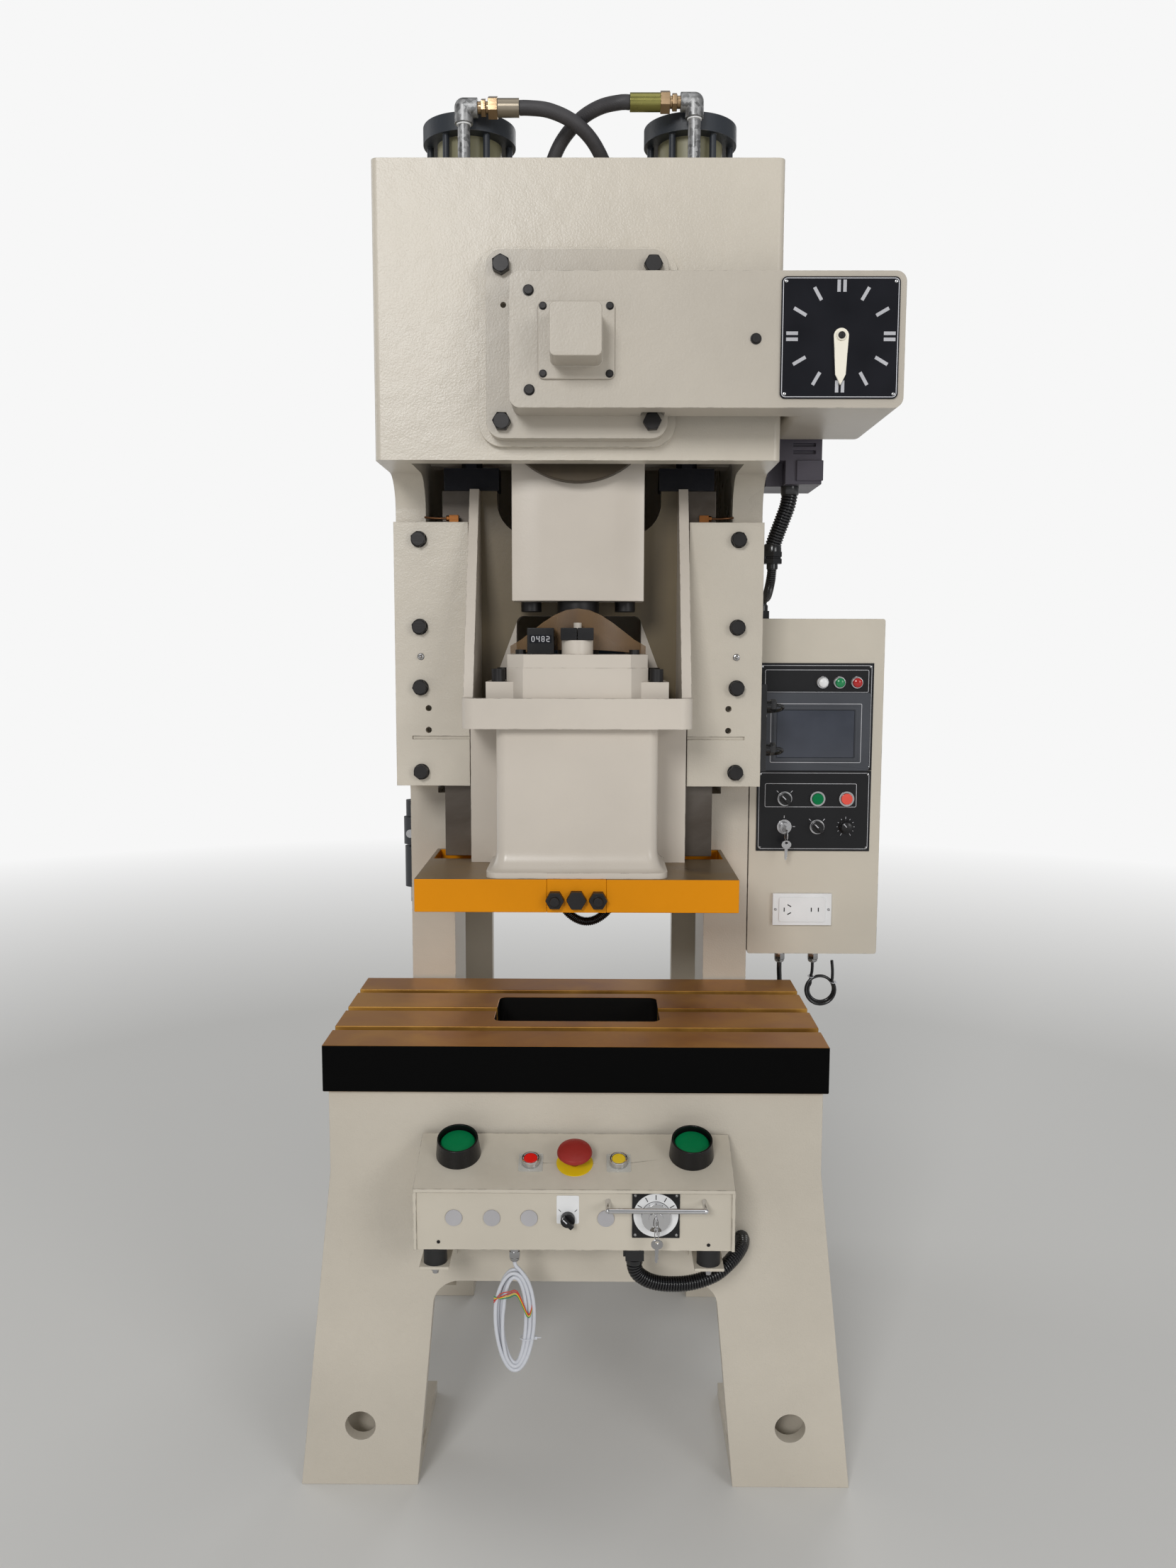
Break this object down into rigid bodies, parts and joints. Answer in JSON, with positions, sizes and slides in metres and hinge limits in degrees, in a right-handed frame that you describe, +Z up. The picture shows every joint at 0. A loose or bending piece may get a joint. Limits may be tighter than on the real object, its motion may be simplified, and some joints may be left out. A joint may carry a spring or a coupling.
{
  "type": "mechanical stamping press",
  "caption": "Open-gap mechanical stamping press with splayed legs, T-slotted bolster, crank-driven slide, dial, control cabinet and two-hand console.",
  "frame": {"origin": "floor level, centre of the four anchor bolt holes", "axes": "+X to the operator's right, +Y away from the operator, +Z up"},
  "size_m": [1.076, 1.28, 2.401],
  "materials": {
    "cream_paint": "gloss paint over a fine cast texture",
    "yellow_paint": "gloss orange-yellow paint, oiled bare metal on top",
    "blue_paint": "satin paint",
    "grey_paint": "satin paint",
    "zinc_paint": "satin lacquer",
    "oiled_steel": "machined and oiled, black sides",
    "ground_steel": "ground and oiled",
    "black_oxide": "black oxide",
    "galvanised": "galvanised",
    "bronze": "turned bronze",
    "chrome": "polished",
    "black_rubber": "ribbed black rubber",
    "black_plastic": "satin black",
    "slate_plastic": "dark grey",
    "amber_sheet": "clear smoked sheet",
    "green_plastic": "gloss green",
    "red_plastic": "gloss red",
    "yellow_plastic": "gloss yellow",
    "white_plastic": "white sheath"
  },
  "bodies": {
    "frame": {"side_plate_left": "cream_paint", "side_plate_right": "cream_paint", "head_frame": "cream_paint", "base_frame": "cream_paint", "rear_frame": "cream_paint", "gib_plates": "cream_paint", "hex_bolts": "black_oxide", "bolster": "oiled_steel", "crank_bushes": "bronze", "bearing_cover": "cream_paint", "dial_box": "cream_paint", "dial_box_cap": "cream_paint", "dial_plate": "black_plastic", "balance_cylinders": "zinc_paint", "air_pipes": "galvanised", "air_hoses": "black_rubber", "cabinet_box": "cream_paint", "control_panel": "black_plastic", "touch_screen": "slate_plastic", "inverter": "slate_plastic", "flexible_conduits": "black_rubber", "air_unit": "black_plastic", "motor": "blue_paint", "drive_belts": "black_rubber", "flywheel_guard": "cream_paint", "console_housing": "cream_paint", "console_mounts": "black_rubber", "palm_guards": "black_plastic", "signal_cable": "white_plastic", "spare_cable": "black_rubber"},
    "crank": {"crankshaft": "ground_steel"},
    "pointer": {"dial_pointer": "cream_paint"},
    "rod": {"connecting_rod": "cream_paint", "rod_cap": "cream_paint", "crankpin": "ground_steel"},
    "ram": {"slide": "cream_paint", "slide_plate": "yellow_paint", "shank_clamp": "yellow_paint", "slide_conduit": "black_rubber", "slide_rails": "ground_steel", "screw_housing": "cream_paint", "height_counter": "black_plastic", "screw_guard": "amber_sheet", "balancer_rods": "ground_steel"},
    "screw": {"adjusting_screw": "ground_steel"},
    "flywheel": {"flywheel": "grey_paint"},
    "motor_rotor": {"motor_pulley": "grey_paint"},
    "palm_left": {"palm_button_left": "green_plastic"},
    "palm_right": {"palm_button_right": "green_plastic"},
    "stop": {"stop_button": "red_plastic"},
    "red": {"red_button": "red_plastic"},
    "yellow": {"yellow_button": "yellow_plastic"},
    "light": {"light_selector": "black_plastic"},
    "mode_key": {"mode_key_switch": "chrome"},
    "start": {"start_button": "green_plastic"},
    "halt": {"halt_button": "red_plastic"},
    "source": {"source_selector": "black_plastic"},
    "key": {"power_key": "chrome"},
    "curtain": {"curtain_selector": "black_plastic"},
    "speed": {"speed_knob": "black_plastic"}
  },
  "joints": [
    {"name": "crank_turn", "type": "hinge", "parent": "frame", "child": "crank", "pos_m": [0, 0, 1.94], "axis": [0, 1, 0], "continuous": true},
    {"name": "pointer_turn", "type": "hinge", "parent": "frame", "child": "pointer", "pos_m": [0.407, -0.5, 1.94], "axis": [0, 1, 0], "continuous": true},
    {"name": "stroke", "type": "slide", "parent": "frame", "child": "rod", "axis": [0, 0, 1], "range_m": [0, 0.11]},
    {"name": "die_height", "type": "slide", "parent": "rod", "child": "ram", "axis": [0, 0, 1], "range_m": [-0.045, 0.015]},
    {"name": "screw_turn", "type": "hinge", "parent": "ram", "child": "screw", "pos_m": [0, -0.263, 1.4], "axis": [0, 0, 1], "range_deg": [-2700, 900]},
    {"name": "flywheel_spin", "type": "hinge", "parent": "frame", "child": "flywheel", "pos_m": [0, 0.565, 1.94], "axis": [0, 1, 0], "continuous": true},
    {"name": "motor_spin", "type": "hinge", "parent": "frame", "child": "motor_rotor", "pos_m": [0, 0.565, 1.383], "axis": [0, 1, 0], "continuous": true},
    {"name": "palm_left_press", "type": "slide", "parent": "frame", "child": "palm_left", "axis": [0, 0.3442, -0.9389], "range_m": [0, 0.006], "stiffness_N_per_m": 600, "springref_m": -0.003},
    {"name": "palm_right_press", "type": "slide", "parent": "frame", "child": "palm_right", "axis": [0, 0.3442, -0.9389], "range_m": [0, 0.006], "stiffness_N_per_m": 600, "springref_m": -0.003},
    {"name": "stop_press", "type": "slide", "parent": "frame", "child": "stop", "axis": [0, 0.3442, -0.9389], "range_m": [0, 0.005]},
    {"name": "red_press", "type": "slide", "parent": "frame", "child": "red", "axis": [0, 0.3442, -0.9389], "range_m": [0, 0.004], "stiffness_N_per_m": 400, "springref_m": -0.003},
    {"name": "yellow_press", "type": "slide", "parent": "frame", "child": "yellow", "axis": [0, 0.3442, -0.9389], "range_m": [0, 0.004], "stiffness_N_per_m": 400, "springref_m": -0.003},
    {"name": "light_turn", "type": "hinge", "parent": "frame", "child": "light", "pos_m": [-0.01, -0.59, 0.554], "axis": [0, 1, 0], "range_deg": [0, 90]},
    {"name": "mode_turn", "type": "hinge", "parent": "frame", "child": "mode_key", "pos_m": [0.131, -0.6, 0.561], "axis": [0, 1, 0], "range_deg": [-60, 60]},
    {"name": "start_press", "type": "slide", "parent": "frame", "child": "start", "axis": [0, 1, 0], "range_m": [0, 0.004], "stiffness_N_per_m": 400, "springref_m": -0.002},
    {"name": "halt_press", "type": "slide", "parent": "frame", "child": "halt", "axis": [0, 1, 0], "range_m": [0, 0.004], "stiffness_N_per_m": 400, "springref_m": -0.002},
    {"name": "source_turn", "type": "hinge", "parent": "frame", "child": "source", "pos_m": [0.406, -0.05, 1.166], "axis": [0, 1, 0], "range_deg": [0, 90]},
    {"name": "key_turn", "type": "hinge", "parent": "frame", "child": "key", "pos_m": [0.406, -0.06, 1.11], "axis": [0, 1, 0], "range_deg": [0, 90]},
    {"name": "curtain_turn", "type": "hinge", "parent": "frame", "child": "curtain", "pos_m": [0.471, -0.05, 1.11], "axis": [0, 1, 0], "range_deg": [0, 90]},
    {"name": "speed_turn", "type": "hinge", "parent": "frame", "child": "speed", "pos_m": [0.528, -0.05, 1.11], "axis": [0, 1, 0], "range_deg": [-150, 150]}
  ],
  "couplings": [
    {"joint": "pointer_turn", "follows": "crank_turn", "ratio": 1},
    {"joint": "screw_turn", "follows": "die_height", "rad_per_m": 1047.2},
    {"joint": "motor_spin", "follows": "flywheel_spin", "ratio": 4.6957}
  ]
}
